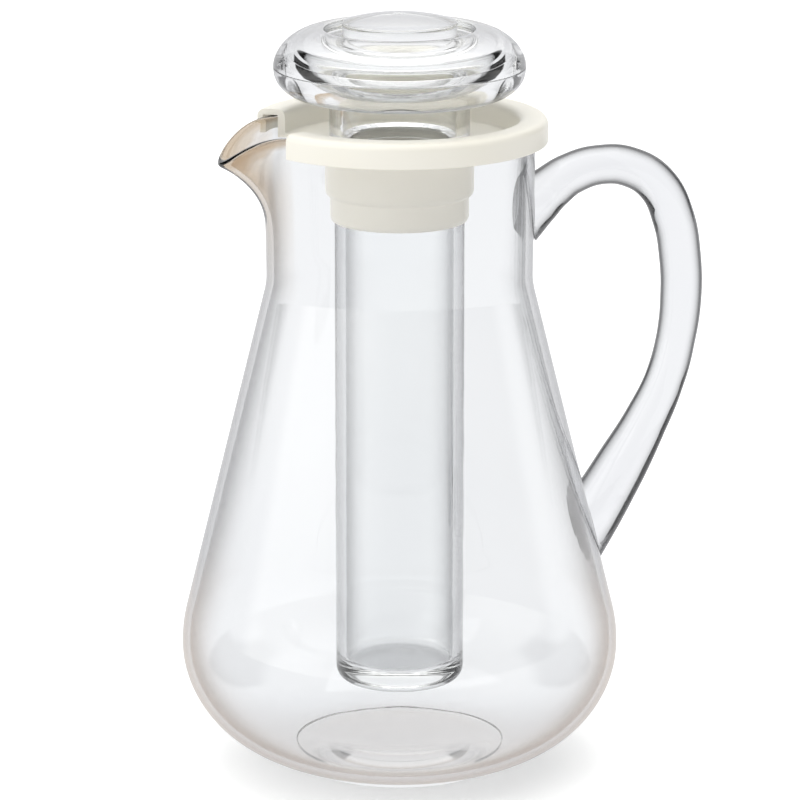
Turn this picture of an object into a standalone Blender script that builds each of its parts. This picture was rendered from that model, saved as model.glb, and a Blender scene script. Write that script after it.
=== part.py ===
"""Clear plastic pitcher with a lid ring, a hanging ice tube and a hollow knob that closes the tube.

Units are metres and +Z is up. The origin is the middle of the flat foot.
The handle points along +X and the spout along -X.
"""

import math

import bmesh
import bpy

MM = 0.001

# Clearances
SEAT_GAP = 0.3 * MM
SLIDE_GAP = 0.35 * MM
OVERRUN = 6.0 * MM
MERGE_DISTANCE = 0.01 * MM

# Pitcher body: foot, belly, cone and neck
FOOT_RADIUS = 42.9 * MM
FOOT_EDGE = 0.6 * MM
BASE_HEIGHT = 1.9 * MM
BASE_FLAT = 34.3 * MM
BELLY_RADIUS = 88.0 * MM
BELLY_HEIGHT = 49.0 * MM
BELLY_CURVE = 60.0 * MM
NECK_RADIUS = 52.9 * MM
CONE_RISE = 148.8 * MM
NECK_CURVE = 30.0 * MM
RIM_RADIUS = 53.6 * MM
NECK_LENGTH = 64.0 * MM
RIM_EDGE = 0.9 * MM
WALL = 3.0 * MM

# Spout
SPOUT_REACH = 18.9 * MM
SPOUT_DROP = 14.0 * MM
SPOUT_LENGTH = 49.8 * MM
SPOUT_HALF_ANGLE = math.radians(39.0)
SPOUT_SIDE_POWER = 3.1
SPOUT_DROP_POWER = 6.2
SPOUT_KEEL_POWER = 3.2

# Handle
HANDLE_REACH = 116.9 * MM
HANDLE_DROP = 20.8 * MM
HANDLE_FOOT_RISE = 48.5 * MM
HANDLE_RADIUS = 8.5 * MM
# Distance out from the neck wall to the grip, rise from the lower root to the top, thickness
HANDLE_ROUTE_SHARES = (
    (-0.084, 0.857, 1.39),
    (0.041, 0.906, 1.22),
    (0.142, 0.943, 1.08),
    (0.267, 0.978, 0.99),
    (0.462, 1.000, 0.935),
    (0.658, 0.988, 0.95),
    (0.830, 0.936, 0.98),
    (0.938, 0.840, 1.01),
    (0.987, 0.725, 1.00),
    (0.997, 0.617, 0.99),
    (0.967, 0.491, 0.94),
    (0.892, 0.366, 0.96),
    (0.772, 0.251, 1.07),
    (0.622, 0.131, 1.25),
    (0.445, 0.000, 1.38),
    (0.288, -0.109, 1.46),
)

# Lid ring
COLLAR_RADIUS = 58.5 * MM
COLLAR_HEIGHT = 9.9 * MM
COLLAR_WALL = 2.4 * MM
COLLAR_CREST = 3.0 * MM
COLLAR_INNER_RADIUS = 47.0 * MM
COLLAR_NECK_GAP = 0.6 * MM
COLLAR_GAP_HALF_ANGLE = math.radians(28.2)
COLLAR_CHORD = 41.0 * MM
FLOOR_RISE = 0.2 * MM
FLOOR_WALL = 1.6 * MM

# Sleeve of the lid ring
SLEEVE_HEAD_LENGTH = 21.3 * MM
SLEEVE_TAIL_LENGTH = 10.3 * MM
SLEEVE_WALL = 1.35 * MM
SLEEVE_EDGE = 2.5 * MM
SLEEVE_LIP_SHARE = 0.8

# Ice tube
TUBE_RADIUS = 25.75 * MM
TUBE_HEAD_RADIUS = 27.7 * MM
TUBE_BORE = 21.7 * MM
TUBE_CLEARANCE = 28.1 * MM
TUBE_BASE = 8.0 * MM
TUBE_EDGE = 6.0 * MM
TUBE_BORE_EDGE = 4.0 * MM
TUBE_STAND = 1.2 * MM
TUBE_RIM_EDGE = 0.8 * MM

# Knob
KNOB_RADIUS = 49.7 * MM
KNOB_BOWL_RISE = 12.5 * MM
KNOB_BOTTOM_RADIUS = 33.0 * MM
KNOB_CREST_RADIUS = 31.5 * MM
KNOB_CREST_RISE = 14.9 * MM
KNOB_GROOVE_RADIUS = 29.5 * MM
KNOB_DOME_RADIUS = 22.4 * MM
KNOB_DOME_EDGE_RISE = 2.5 * MM
KNOB_DOME_RISE = 3.2 * MM
KNOB_GROOVE_DEPTH = 4.0 * MM
KNOB_GROOVE_CORNER = 1.3 * MM
KNOB_GROOVE_DRAFT = 0.3 * MM
KNOB_HOLLOW_RADIUS = 37.5 * MM
KNOB_HOLLOW_FLAT = 24.0 * MM
KNOB_ROOF = 5.0 * MM
KNOB_FLOOR = 4.5 * MM
KNOB_SEAM_GAP = 0.3 * MM
STEM_LENGTH = 15.8 * MM
STEM_BORE = 22.5 * MM
STEM_EDGE = 0.5 * MM
SPIGOT_DEPTH = 4.0 * MM
SPIGOT_WALL = 1.8 * MM
# How square the knob's outline is: 2 is an ellipse
KNOB_TOP_POWER = 1.85
KNOB_BOTTOM_POWER = 2.3
KNOB_HOLLOW_POWER = 2.6

# Mesh steps
BODY_COLUMNS = 64
BODY_CROWDING = 0.5
TURN_STEPS = 48
SPOUT_ROWS = 7
BELLY_STEPS = 6
KNOB_STEPS = 7
CORNER_STEPS = 3

# Heights that follow from the sizes above
NECK_HEIGHT = BELLY_HEIGHT + CONE_RISE
RIM_HEIGHT = NECK_HEIGHT + NECK_LENGTH
SPOUT_ROOT_HEIGHT = RIM_HEIGHT - SPOUT_LENGTH
HANDLE_TOP = RIM_HEIGHT - HANDLE_DROP
HANDLE_FOOT = BELLY_HEIGHT + HANDLE_FOOT_RISE
COLLAR_UNDERSIDE = RIM_HEIGHT + SEAT_GAP
COLLAR_TOP = COLLAR_UNDERSIDE + COLLAR_WALL
COLLAR_BOTTOM = COLLAR_TOP - COLLAR_HEIGHT
FLOOR_TOP = COLLAR_BOTTOM + FLOOR_RISE
FLOOR_UNDERSIDE = FLOOR_TOP - FLOOR_WALL
COLLAR_LEG_RADIUS = RIM_RADIUS - WALL - COLLAR_NECK_GAP
SLEEVE_BORE = TUBE_RADIUS + SLIDE_GAP
SLEEVE_HEAD_BORE = TUBE_HEAD_RADIUS + SLIDE_GAP
SLEEVE_STEP_HEIGHT = FLOOR_TOP - SLEEVE_HEAD_LENGTH
SLEEVE_BOTTOM_HEIGHT = SLEEVE_STEP_HEIGHT - SLEEVE_TAIL_LENGTH
SLEEVE_LEDGE = SLEEVE_STEP_HEIGHT + SLEEVE_WALL
TUBE_BOTTOM_HEIGHT = BASE_HEIGHT + WALL + TUBE_CLEARANCE
TUBE_TOP_HEIGHT = FLOOR_TOP + TUBE_STAND
STEM_BOTTOM = TUBE_TOP_HEIGHT + SEAT_GAP
SPIGOT_RADIUS = TUBE_BORE - SLIDE_GAP
SPIGOT_BOTTOM = STEM_BOTTOM - SPIGOT_DEPTH
KNOB_BOTTOM_HEIGHT = STEM_BOTTOM + STEM_LENGTH
KNOB_SEAM_HEIGHT = KNOB_BOTTOM_HEIGHT + KNOB_BOWL_RISE
KNOB_CREST_HEIGHT = KNOB_SEAM_HEIGHT + KNOB_CREST_RISE
KNOB_DOME_EDGE_HEIGHT = KNOB_CREST_HEIGHT + KNOB_DOME_EDGE_RISE
KNOB_DOME_HEIGHT = KNOB_DOME_EDGE_HEIGHT + KNOB_DOME_RISE


def clear_scene():
    for existing in list(bpy.data.objects):
        bpy.data.objects.remove(existing, do_unlink=True)


def new_collection(name):
    collection = bpy.data.collections.new(name)
    bpy.context.scene.collection.children.link(collection)
    return collection


def plastic(name, color, roughness, transmission):
    material = bpy.data.materials.new(name)
    material.use_nodes = True
    shader = material.node_tree.nodes["Principled BSDF"]
    shader.inputs["Base Color"].default_value = (*color, 1.0)
    shader.inputs["Metallic"].default_value = 0.0
    shader.inputs["Roughness"].default_value = roughness
    shader.inputs["IOR"].default_value = 1.49
    shader.inputs["Transmission Weight"].default_value = transmission
    material.diffuse_color = (*color, 1.0)
    return material


def add_object(name, mesh, collection, material):
    created = bpy.data.objects.new(name, mesh)
    collection.objects.link(created)
    mesh.materials.append(material)
    return created


def shade_round(target):
    target.data.shade_smooth()
    target.data.set_sharp_from_angle(angle=math.radians(35.0))


def arc(center, radii, start, end, steps):
    """Points (distance from the axis, height) on an elliptical arc between two angles in degrees."""
    points = []
    for step in range(steps + 1):
        angle = math.radians(start + (end - start) * step / steps)
        points.append((center[0] + radii[0] * math.cos(angle), center[1] + radii[1] * math.sin(angle)))
    return points


def turned(name, outline, collection, material, closed):
    """A solid turned about the Z axis. The outline runs down its outer side and up its inner one."""
    mesh = bpy.data.meshes.new(name)
    edges = [(index, index + 1) for index in range(len(outline) - 1)]
    if closed:
        edges.append((len(outline) - 1, 0))
    mesh.from_pydata([(radius, 0.0, height) for radius, height in outline], edges, [])
    created = add_object(name, mesh, collection, material)
    screw = created.modifiers.new("Turn", "SCREW")
    screw.axis = "Z"
    screw.angle = math.tau
    screw.steps = TURN_STEPS
    screw.render_steps = TURN_STEPS
    screw.use_merge_vertices = True
    screw.merge_threshold = MERGE_DISTANCE
    screw.use_smooth_shade = True
    return created


def cone_angle():
    """Angle in radians from the widest point to where the straight cone leaves the belly's upper arc."""
    run = NECK_RADIUS - (BELLY_RADIUS - BELLY_CURVE)
    rise = NECK_HEIGHT - BELLY_HEIGHT
    return math.atan2(rise, run) - math.acos(BELLY_CURVE / math.hypot(run, rise))


def body_outline():
    """Outer outline of the pitcher from the middle of its base up to the rim, without the spout."""
    slope = cone_angle()
    bowl_radii = (BELLY_RADIUS - BASE_FLAT, BELLY_HEIGHT - BASE_HEIGHT)
    base = arc((BASE_FLAT, BELLY_HEIGHT), bowl_radii, -90, 0, BELLY_STEPS)
    shoulder = arc(
        (BELLY_RADIUS - BELLY_CURVE, BELLY_HEIGHT), (BELLY_CURVE, BELLY_CURVE), 0, math.degrees(slope), 2
    )
    flare = math.atan2(RIM_RADIUS - NECK_RADIUS, RIM_HEIGHT - NECK_HEIGHT)
    tangent = NECK_CURVE * math.tan((slope + flare) / 2)
    bend = []
    for share in (0.0, 0.5, 1.0):
        turn = slope - (slope + flare) * share
        radius = NECK_RADIUS + tangent * math.sin(slope) + NECK_CURVE * (math.cos(slope) - math.cos(turn))
        height = NECK_HEIGHT - tangent * math.cos(slope) + NECK_CURVE * (math.sin(slope) - math.sin(turn))
        bend.append((radius, height))
    neck = []
    for row in range(SPOUT_ROWS + 1):
        height = SPOUT_ROOT_HEIGHT + (RIM_HEIGHT - SPOUT_ROOT_HEIGHT) * row / SPOUT_ROWS
        share = (height - NECK_HEIGHT) / (RIM_HEIGHT - NECK_HEIGHT)
        neck.append((NECK_RADIUS + (RIM_RADIUS - NECK_RADIUS) * share, height))
    return [(0.0, BASE_HEIGHT)] + base + shoulder[1:] + bend + neck


def spout_pull(radius, height, angle):
    """Moves a point of the round neck out and down into the spout. The angle is measured from the spout."""
    turn = abs(angle) / SPOUT_HALF_ANGLE
    if turn >= 1.0 or height <= SPOUT_ROOT_HEIGHT:
        return radius, height
    side = math.cos(turn * math.pi / 2)
    rise = (height - SPOUT_ROOT_HEIGHT) / (RIM_HEIGHT - SPOUT_ROOT_HEIGHT)
    lip_height = RIM_HEIGHT - SPOUT_DROP * side**SPOUT_DROP_POWER
    radius += SPOUT_REACH * side**SPOUT_SIDE_POWER * rise**SPOUT_KEEL_POWER
    return radius, SPOUT_ROOT_HEIGHT + rise * (lip_height - SPOUT_ROOT_HEIGHT)


def body_surface(name, growth, with_spout):
    """The pitcher's outer surface as one open sheet, with its columns crowded towards the spout."""
    sheet = bmesh.new()
    points = [sheet.verts.new((-radius, 0.0, height)) for radius, height in body_outline()]
    edges = [sheet.edges.new(pair) for pair in zip(points, points[1:])]
    bmesh.ops.spin(
        sheet,
        geom=points + edges,
        cent=(0.0, 0.0, 0.0),
        axis=(0.0, 0.0, 1.0),
        angle=math.tau,
        steps=BODY_COLUMNS,
        use_merge=True,
    )
    bmesh.ops.remove_doubles(sheet, verts=sheet.verts, dist=MERGE_DISTANCE)
    for vert in sheet.verts:
        radius = math.hypot(vert.co.x, vert.co.y)
        angle = math.atan2(-vert.co.y, -vert.co.x)
        angle -= BODY_CROWDING * math.sin(angle)
        height = vert.co.z
        if with_spout:
            radius, height = spout_pull(radius, height, angle)
        if radius > 0.0:
            radius += growth
        vert.co = (-radius * math.cos(angle), -radius * math.sin(angle), height)
    if growth:
        bmesh.ops.holes_fill(sheet, edges=[edge for edge in sheet.edges if edge.is_boundary])
    bmesh.ops.recalc_face_normals(sheet, faces=sheet.faces)
    if sheet.calc_volume(signed=True) < 0.0:
        bmesh.ops.reverse_faces(sheet, faces=sheet.faces)
    mesh = bpy.data.meshes.new(name)
    sheet.to_mesh(mesh)
    sheet.free()
    return mesh


def make_body(parts, helpers, material):
    body = add_object("pitcher_body", body_surface("pitcher_body", 0.0, True), parts, material)
    shell = body.modifiers.new("Wall", "SOLIDIFY")
    shell.thickness = WALL
    shell.offset = -1.0
    shell.use_even_offset = True
    shell.use_quality_normals = True
    rim = body.modifiers.new("Rim edge", "BEVEL")
    rim.width = RIM_EDGE
    rim.segments = 2
    rim.limit_method = "ANGLE"
    rim.angle_limit = math.radians(55.0)
    foot = turned(
        "foot_disc",
        [
            (0.0, BASE_HEIGHT + WALL / 2),
            (FOOT_RADIUS, BASE_HEIGHT + WALL / 2),
            (FOOT_RADIUS, FOOT_EDGE),
            (FOOT_RADIUS - FOOT_EDGE, 0.0),
            (0.0, 0.0),
        ],
        helpers,
        material,
        closed=False,
    )
    join = body.modifiers.new("Foot", "BOOLEAN")
    join.operation = "UNION"
    join.object = foot
    shade_round(body)
    return body


def make_handle(parts, helpers, material):
    """A bent rod with flared roots, cut to the pitcher's wall at both ends."""
    curve = bpy.data.curves.new("handle_route", "CURVE")
    curve.dimensions = "3D"
    curve.bevel_depth = HANDLE_RADIUS
    curve.bevel_resolution = 6
    curve.resolution_u = 3
    curve.use_fill_caps = True
    spline = curve.splines.new("BEZIER")
    spline.bezier_points.add(len(HANDLE_ROUTE_SHARES) - 1)
    for point, (out, up, thickness) in zip(spline.bezier_points, HANDLE_ROUTE_SHARES):
        reach = NECK_RADIUS + (HANDLE_REACH - NECK_RADIUS) * out
        height = HANDLE_FOOT + (HANDLE_TOP - HANDLE_FOOT) * up
        point.co = (reach, 0.0, height)
        point.radius = thickness
        point.handle_left_type = "AUTO"
        point.handle_right_type = "AUTO"
    route = bpy.data.objects.new("handle_route", curve)
    parts.objects.link(route)
    graph = bpy.context.evaluated_depsgraph_get()
    mesh = bpy.data.meshes.new_from_object(route.evaluated_get(graph))
    rod = bmesh.new()
    rod.from_mesh(mesh)
    bmesh.ops.remove_doubles(rod, verts=rod.verts, dist=MERGE_DISTANCE)
    bmesh.ops.recalc_face_normals(rod, faces=rod.faces)
    rod.to_mesh(mesh)
    rod.free()
    handle = add_object("handle", mesh, parts, material)
    handle.matrix_world = route.matrix_world
    bpy.data.objects.remove(route, do_unlink=True)
    cutter_mesh = body_surface("handle_wall_cutter", SEAT_GAP, False)
    wall = add_object("handle_wall_cutter", cutter_mesh, helpers, material)
    cut = handle.modifiers.new("Wall seat", "BOOLEAN")
    cut.operation = "DIFFERENCE"
    cut.object = wall
    shade_round(handle)
    return handle


def collar_outline():
    """Section through the lid ring: hooked rim, sunk floor and stepped sleeve."""
    crest = COLLAR_CREST
    outer = arc((COLLAR_RADIUS - crest, COLLAR_TOP - crest), (crest, crest), 90, 0, CORNER_STEPS)
    inner = arc((COLLAR_INNER_RADIUS + crest, COLLAR_TOP - crest), (crest, crest), 180, 90, CORNER_STEPS)
    head = SLEEVE_HEAD_BORE + SLEEVE_WALL
    tail = SLEEVE_BORE + SLEEVE_WALL
    head_center = (head - SLEEVE_WALL, SLEEVE_STEP_HEIGHT + SLEEVE_EDGE)
    head_edge = arc(head_center, (SLEEVE_WALL, SLEEVE_EDGE), 0, -90, CORNER_STEPS)
    lip = SLEEVE_WALL * SLEEVE_LIP_SHARE
    tail_center = (tail - lip, SLEEVE_BOTTOM_HEIGHT + SLEEVE_EDGE)
    tail_edge = arc(tail_center, (lip, SLEEVE_EDGE), 0, -90, CORNER_STEPS)
    return (
        outer
        + [
            (COLLAR_RADIUS, COLLAR_BOTTOM),
            (COLLAR_RADIUS - COLLAR_WALL, COLLAR_BOTTOM),
            (COLLAR_RADIUS - COLLAR_WALL, COLLAR_UNDERSIDE),
            (COLLAR_LEG_RADIUS, COLLAR_UNDERSIDE),
            (COLLAR_LEG_RADIUS, FLOOR_UNDERSIDE),
            (head, FLOOR_UNDERSIDE),
        ]
        + head_edge
        + [(tail, SLEEVE_STEP_HEIGHT)]
        + tail_edge
        + [
            (SLEEVE_BORE, SLEEVE_BOTTOM_HEIGHT),
            (SLEEVE_BORE, SLEEVE_LEDGE),
            (SLEEVE_HEAD_BORE, SLEEVE_LEDGE),
            (SLEEVE_HEAD_BORE, FLOOR_TOP),
            (COLLAR_INNER_RADIUS, FLOOR_TOP),
        ]
        + inner
    )


def make_gap_cutter(helpers, material):
    """A block that opens the lid ring and its floor over the spout, with a straight inner edge."""
    low = FLOOR_UNDERSIDE - OVERRUN
    high = COLLAR_TOP + OVERRUN
    far = COLLAR_RADIUS + OVERRUN
    spread = math.tan(COLLAR_GAP_HALF_ANGLE)
    plan = ((COLLAR_CHORD, -1), (far, -1), (far, 1), (COLLAR_CHORD, 1))
    block = bmesh.new()
    corners = [block.verts.new((-out, side * out * spread, low)) for out, side in plan]
    base = block.faces.new(corners)
    raised = bmesh.ops.extrude_face_region(block, geom=[base])["geom"]
    top = [item for item in raised if isinstance(item, bmesh.types.BMVert)]
    bmesh.ops.translate(block, verts=top, vec=(0.0, 0.0, high - low))
    bmesh.ops.recalc_face_normals(block, faces=block.faces)
    mesh = bpy.data.meshes.new("spout_gap_cutter")
    block.to_mesh(mesh)
    block.free()
    return add_object("spout_gap_cutter", mesh, helpers, material)


def make_collar(parts, helpers, material):
    collar = turned("collar", collar_outline(), parts, material, closed=True)
    cut = collar.modifiers.new("Spout gap", "BOOLEAN")
    cut.operation = "DIFFERENCE"
    cut.object = make_gap_cutter(helpers, material)
    return collar


def make_ice_tube(parts, material):
    """A thick closed tube that hangs by its wider head on the sleeve's ledge."""
    shoulder = SLEEVE_LEDGE + SEAT_GAP
    floor = TUBE_BOTTOM_HEIGHT + TUBE_BASE
    bore_center = (TUBE_BORE - TUBE_BORE_EDGE, floor + TUBE_BORE_EDGE)
    bore = arc(bore_center, (TUBE_BORE_EDGE, TUBE_BORE_EDGE), -90, 0, CORNER_STEPS)
    outer_center = (TUBE_RADIUS - TUBE_EDGE, TUBE_BOTTOM_HEIGHT + TUBE_EDGE)
    outer = arc(outer_center, (TUBE_EDGE, TUBE_EDGE), 0, -90, CORNER_STEPS + 1)
    outline = (
        [(0.0, floor)]
        + bore
        + [
            (TUBE_BORE, TUBE_TOP_HEIGHT - TUBE_RIM_EDGE),
            (TUBE_BORE + TUBE_RIM_EDGE, TUBE_TOP_HEIGHT),
            (TUBE_HEAD_RADIUS - TUBE_RIM_EDGE, TUBE_TOP_HEIGHT),
            (TUBE_HEAD_RADIUS, TUBE_TOP_HEIGHT - TUBE_RIM_EDGE),
            (TUBE_HEAD_RADIUS, shoulder),
            (TUBE_RADIUS, shoulder),
        ]
        + outer
        + [(0.0, TUBE_BOTTOM_HEIGHT)]
    )
    return turned("ice_tube", outline, parts, material, closed=False)


def squared_arc(center, radii, power, start, end, steps):
    """Like arc, but on an outline that is squarer than an ellipse where the power is over 2."""
    points = []
    for step in range(steps + 1):
        angle = math.radians(start + (end - start) * step / steps)
        across = math.copysign(abs(math.cos(angle)) ** (2 / power), math.cos(angle))
        along = math.copysign(abs(math.sin(angle)) ** (2 / power), math.sin(angle))
        points.append((center[0] + radii[0] * across, center[1] + radii[1] * along))
    return points


def make_knob_upper_shell(parts, material):
    """The knob's top half: a domed middle, a ring-shaped groove and a wide rounded rim."""
    seam = KNOB_SEAM_HEIGHT + KNOB_SEAM_GAP / 2
    groove_floor = KNOB_CREST_HEIGHT - KNOB_GROOVE_DEPTH
    rim = squared_arc(
        (KNOB_CREST_RADIUS, KNOB_SEAM_HEIGHT),
        (KNOB_RADIUS - KNOB_CREST_RADIUS, KNOB_CREST_HEIGHT - KNOB_SEAM_HEIGHT),
        KNOB_TOP_POWER,
        90,
        2,
        KNOB_STEPS,
    )
    dome = []
    for step in range(4):
        share = step / 3
        height = KNOB_DOME_HEIGHT + (KNOB_DOME_EDGE_HEIGHT - KNOB_DOME_HEIGHT) * share**2
        dome.append((KNOB_DOME_RADIUS * share, height))
    hollow = squared_arc(
        (KNOB_HOLLOW_FLAT, KNOB_SEAM_HEIGHT),
        (KNOB_HOLLOW_RADIUS - KNOB_HOLLOW_FLAT, groove_floor - KNOB_ROOF - KNOB_SEAM_HEIGHT),
        KNOB_HOLLOW_POWER,
        2,
        90,
        KNOB_STEPS - 2,
    )
    outline = (
        dome
        + [
            (KNOB_DOME_RADIUS + KNOB_GROOVE_DRAFT, groove_floor + KNOB_GROOVE_CORNER),
            (KNOB_DOME_RADIUS + KNOB_GROOVE_CORNER, groove_floor),
            (KNOB_GROOVE_RADIUS - KNOB_GROOVE_CORNER, groove_floor),
            (KNOB_GROOVE_RADIUS, groove_floor + KNOB_GROOVE_CORNER),
            (KNOB_GROOVE_RADIUS + KNOB_GROOVE_DRAFT, KNOB_CREST_HEIGHT - KNOB_GROOVE_DRAFT),
        ]
        + rim
        + [(KNOB_RADIUS, seam), (KNOB_HOLLOW_RADIUS, seam)]
        + hollow
        + [(0.0, groove_floor - KNOB_ROOF)]
    )
    return turned("knob_upper_shell", outline, parts, material, closed=False)


def make_knob_lower_shell(parts, material):
    """The knob's bottom half, with a hollow stem whose spigot closes the ice tube's mouth."""
    seam = KNOB_SEAM_HEIGHT - KNOB_SEAM_GAP / 2
    floor = KNOB_BOTTOM_HEIGHT + KNOB_FLOOR
    bowl = squared_arc(
        (KNOB_BOTTOM_RADIUS, KNOB_SEAM_HEIGHT),
        (KNOB_RADIUS - KNOB_BOTTOM_RADIUS, KNOB_SEAM_HEIGHT - KNOB_BOTTOM_HEIGHT),
        KNOB_BOTTOM_POWER,
        -2,
        -90,
        KNOB_STEPS,
    )
    hollow = squared_arc(
        (KNOB_HOLLOW_FLAT, KNOB_SEAM_HEIGHT),
        (KNOB_HOLLOW_RADIUS - KNOB_HOLLOW_FLAT, KNOB_SEAM_HEIGHT - floor),
        KNOB_HOLLOW_POWER,
        -90,
        -2,
        KNOB_STEPS - 2,
    )
    outline = (
        [
            (SPIGOT_RADIUS - SPIGOT_WALL, SPIGOT_BOTTOM),
            (SPIGOT_RADIUS - SPIGOT_WALL, STEM_BOTTOM),
            (STEM_BORE, STEM_BOTTOM + SPIGOT_WALL),
            (STEM_BORE, floor - (KNOB_HOLLOW_FLAT - STEM_BORE)),
        ]
        + hollow
        + [(KNOB_HOLLOW_RADIUS, seam), (KNOB_RADIUS, seam)]
        + bowl
        + [
            (TUBE_HEAD_RADIUS, KNOB_BOTTOM_HEIGHT),
            (TUBE_HEAD_RADIUS, STEM_BOTTOM + STEM_EDGE),
            (TUBE_HEAD_RADIUS - STEM_EDGE, STEM_BOTTOM),
            (SPIGOT_RADIUS, STEM_BOTTOM),
            (SPIGOT_RADIUS, SPIGOT_BOTTOM),
        ]
    )
    return turned("knob_lower_shell", outline, parts, material, closed=True)


def main():
    clear_scene()
    parts = new_collection("Plastic pitcher")
    helpers = new_collection("Cutters")
    helpers.hide_render = True
    clear = plastic("Clear acrylic", (0.96, 0.97, 0.98), 0.03, 1.0)
    clear_tube = plastic("Clear acrylic tube", (0.95, 0.96, 0.96), 0.03, 1.0)
    ivory = plastic("Ivory plastic", (0.88, 0.86, 0.78), 0.35, 0.0)
    make_body(parts, helpers, clear)
    make_handle(parts, helpers, clear)
    make_collar(parts, helpers, ivory)
    make_ice_tube(parts, clear_tube)
    make_knob_lower_shell(parts, clear)
    make_knob_upper_shell(parts, clear)
    for helper in helpers.objects:
        helper.hide_render = True
        helper.display_type = "WIRE"


main()
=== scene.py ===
"""Finished surfaces, clear plastics and studio for the pitcher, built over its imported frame."""

import math

import bmesh
import bpy
from bpy.props import FloatProperty, FloatVectorProperty, IntProperty
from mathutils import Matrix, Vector


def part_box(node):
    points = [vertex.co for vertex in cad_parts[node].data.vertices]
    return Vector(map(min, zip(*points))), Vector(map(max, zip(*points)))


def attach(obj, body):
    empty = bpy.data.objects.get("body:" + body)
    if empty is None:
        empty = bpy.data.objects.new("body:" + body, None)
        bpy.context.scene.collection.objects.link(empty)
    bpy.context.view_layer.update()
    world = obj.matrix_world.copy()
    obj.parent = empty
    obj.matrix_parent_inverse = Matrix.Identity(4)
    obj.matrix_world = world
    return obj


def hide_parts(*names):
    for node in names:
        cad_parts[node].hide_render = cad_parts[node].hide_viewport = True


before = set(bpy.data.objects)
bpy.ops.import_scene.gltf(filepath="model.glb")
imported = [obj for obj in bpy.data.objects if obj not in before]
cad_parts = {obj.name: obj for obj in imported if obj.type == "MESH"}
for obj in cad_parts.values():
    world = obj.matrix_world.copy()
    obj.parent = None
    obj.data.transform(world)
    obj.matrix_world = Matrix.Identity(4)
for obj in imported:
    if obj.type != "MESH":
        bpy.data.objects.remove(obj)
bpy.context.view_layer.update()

bl_info = {
    "name": "Clear pitcher",
    "version": (1, 0, 0),
    "blender": (4, 5, 0),
    "location": "View3D > Sidebar > Pitcher",
    "description": "Builds a clear plastic pitcher with a lid ring, an ice tube and a hollow knob",
    "category": "Add Mesh",
}

MM = 0.001
SEAT_GAP = 0.3 * MM
SLIDE_GAP = 0.35 * MM
OVERRUN = 6.0 * MM
MERGE_DISTANCE = 0.002 * MM
ACRYLIC_IOR = 1.49
TUBE_RIPPLE = 1.4
# Mesh marks for the painted tan shade on the spout's lip and keel
LIP_SHADE_MARK = "lip"
KEEL_SHADE_MARK = "keel_shade"

# Where the clear plastic's painted edge shade starts and is full, from 0 facing the eye to 1 edge on
WALL_EDGE_SHADE = (0.42, 0.94)
ROD_EDGE_SHADE = (0.12, 0.58)
TUBE_EDGE_SHADE = (0.16, 0.80)
KEEL_EDGE_SHADE = (0.06, 0.45)
# Heights between which the body's painted edge shade turns from warm to plain
WARM_SHADE_HEIGHTS = (40.0 * MM, 95.0 * MM)
# Height over which the thin sleeve's paler ivory, painted light, turns into the ring's colour
SLEEVE_LIGHT_FADE = 1.5 * MM
# How deep the bumps of the clear and of the ivory surfaces go
FLOW_DEPTH = 0.4 * MM
GRAIN_DEPTH = 0.15 * MM

# Creases sharper than these stay hard, in degrees
TURNED_CREASE = 32.0
CUT_CREASE = 40.0
RIM_CREASE = 55.0
RING_CUT_CREASE = 50.0

# How far the spout is drawn out beside its middle, towards its lip and along its keel
SPOUT_HALF_ANGLE = math.radians(39.0)
SPOUT_SIDE_POWER = 3.1
SPOUT_DROP_POWER = 6.2
SPOUT_KEEL_POWER = 3.2
BEAD_HALF_ANGLE = math.radians(27.0)
BEAD_DEPTH = 3.1 * MM
# How far round the spout the painted lip shade reaches, and the depth over which it fades
LIP_SHADE_ANGLE = math.radians(55.0)
LIP_SHADE_FADE = 1.0 * MM
BODY_CROWDING = 0.5
# Rows in each bend of the body and of the plain body that the handle is cut to
BODY_FINENESS = 6
SEAT_FINENESS = 4
SEAT_COLUMNS = 128

# Rows of the bowl this near to the foot's edge give way to it
FOOT_ROW_GAP = 1.5 * MM
# The underside's faces that become the foot: how far past its edge and how high above the base
FOOT_TOLERANCE = 0.01 * MM
FOOT_REACH = 1.0 * MM

# Distance out from the neck wall to the grip, rise from the lower root to the top, thickness
HANDLE_ROUTE_SHARES = (
    (-0.084, 0.857, 1.39),
    (0.041, 0.906, 1.22),
    (0.142, 0.943, 1.08),
    (0.267, 0.978, 0.99),
    (0.462, 1.000, 0.935),
    (0.658, 0.988, 0.95),
    (0.830, 0.936, 0.98),
    (0.938, 0.840, 1.01),
    (0.987, 0.725, 1.00),
    (0.997, 0.617, 0.99),
    (0.967, 0.491, 0.94),
    (0.892, 0.366, 0.96),
    (0.772, 0.251, 1.07),
    (0.622, 0.131, 1.25),
    (0.445, 0.000, 1.38),
    (0.288, -0.109, 1.46),
)
HANDLE_TOP = 241.0 * MM
HANDLE_FOOT = 97.5 * MM

# How finely the turned pieces and their arcs are drawn
TURN_STEPS = 192
CREST_STEPS = 12
SLEEVE_STEPS = 8
RIM_STEPS = 28
HOLLOW_STEPS = 20
DOME_STEPS = 12
# Radius of the moulding mark's flat floor as a share of its own
GATE_FLOOR_SHARE = 0.55


def length(name, description, default):
    return FloatProperty(name=name, description=description, default=default, min=0.0, unit="LENGTH")


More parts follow.
